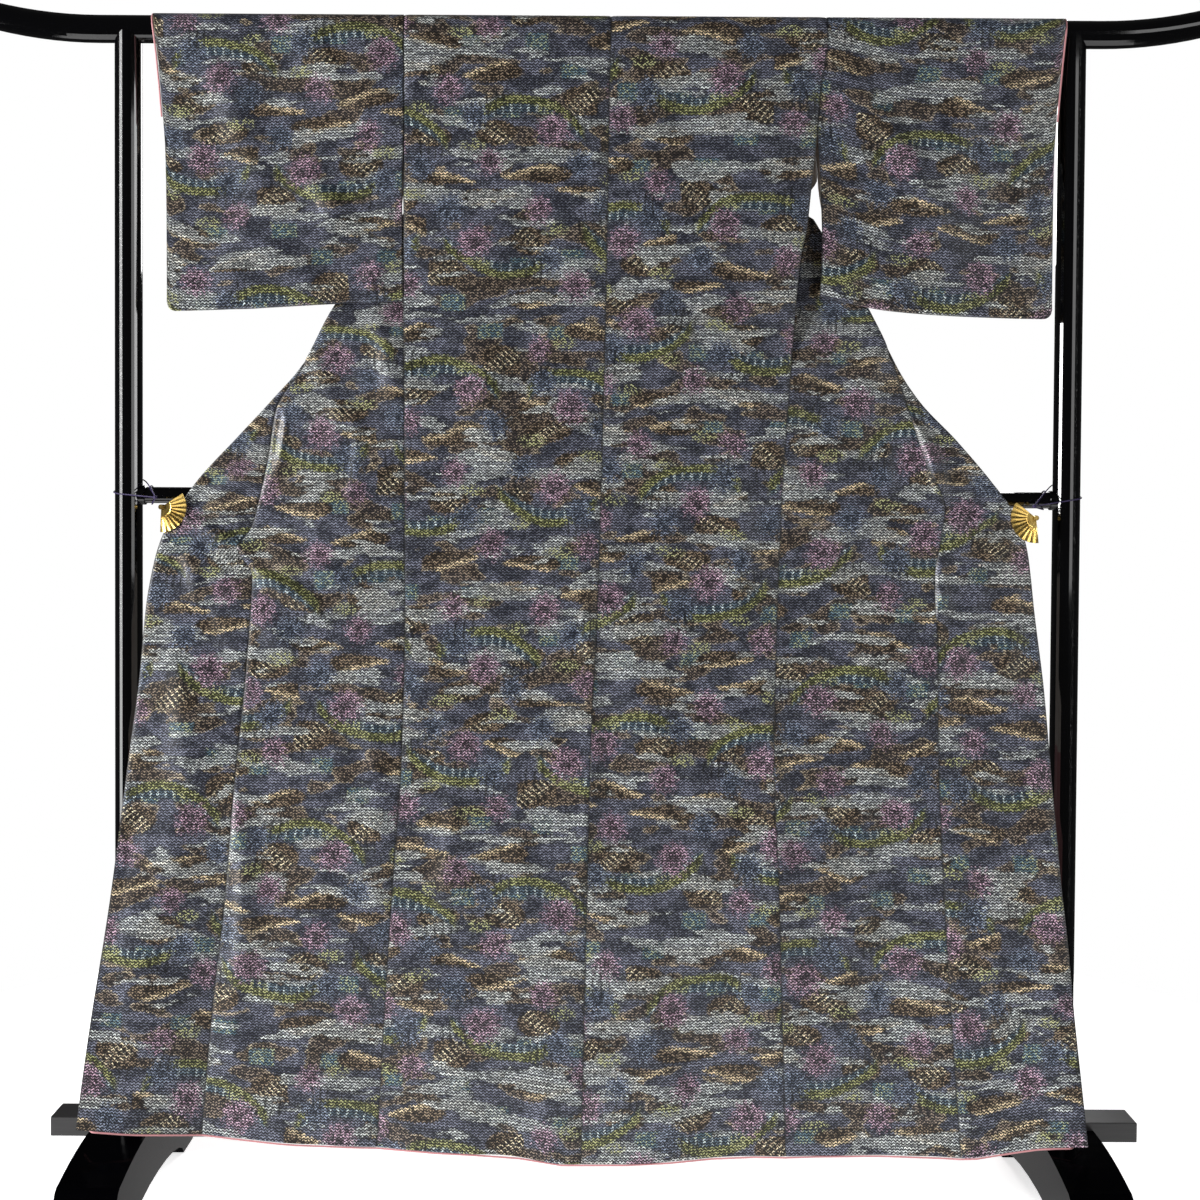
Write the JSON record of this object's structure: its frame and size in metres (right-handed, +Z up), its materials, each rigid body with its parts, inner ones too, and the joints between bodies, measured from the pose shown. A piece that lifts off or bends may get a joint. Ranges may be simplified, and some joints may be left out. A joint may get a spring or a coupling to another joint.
{
  "type": "silk kimono on a lacquered kimono stand",
  "caption": "Lined silk robe spread over the bar of a black lacquered stand, its fronts opened sideways by fan-shaped clips so that the back shows whole.",
  "frame": {"origin": "on the floor, under the middle of the stand", "axes": "+Z up, +X along the top bar to the right of the side that shows, +Y away from it; the robe's back faces -Y"},
  "size_m": [1.722, 0.43, 1.7043],
  "materials": {
    "figured_silk": "slate grey-blue silk with a small figured design, soft low sheen",
    "lining_silk": "plain dusty pink silk lining, soft sheen",
    "black_lacquer": "black lacquer, high gloss",
    "gilt_fan": "satin gilt",
    "purple_cord": "twisted silk cord, matt"
  },
  "bodies": {
    "root": {"back_left": "figured_silk", "back_right": "figured_silk", "front_left": "figured_silk", "front_right": "figured_silk", "okumi_left": "figured_silk", "okumi_right": "figured_silk", "sleeve_left": "figured_silk", "sleeve_right": "figured_silk", "collar": "figured_silk", "hem_edge": "lining_silk", "cuff_edge_left": "lining_silk", "cuff_edge_right": "lining_silk", "top_bar": "black_lacquer", "post_left": "black_lacquer", "post_right": "black_lacquer", "rung": "black_lacquer", "base_rail": "black_lacquer", "foot_left": "black_lacquer", "foot_right": "black_lacquer", "clip_left": "gilt_fan", "clip_right": "gilt_fan", "cord_left": "purple_cord", "cord_right": "purple_cord"}
  },
  "joints": []
}
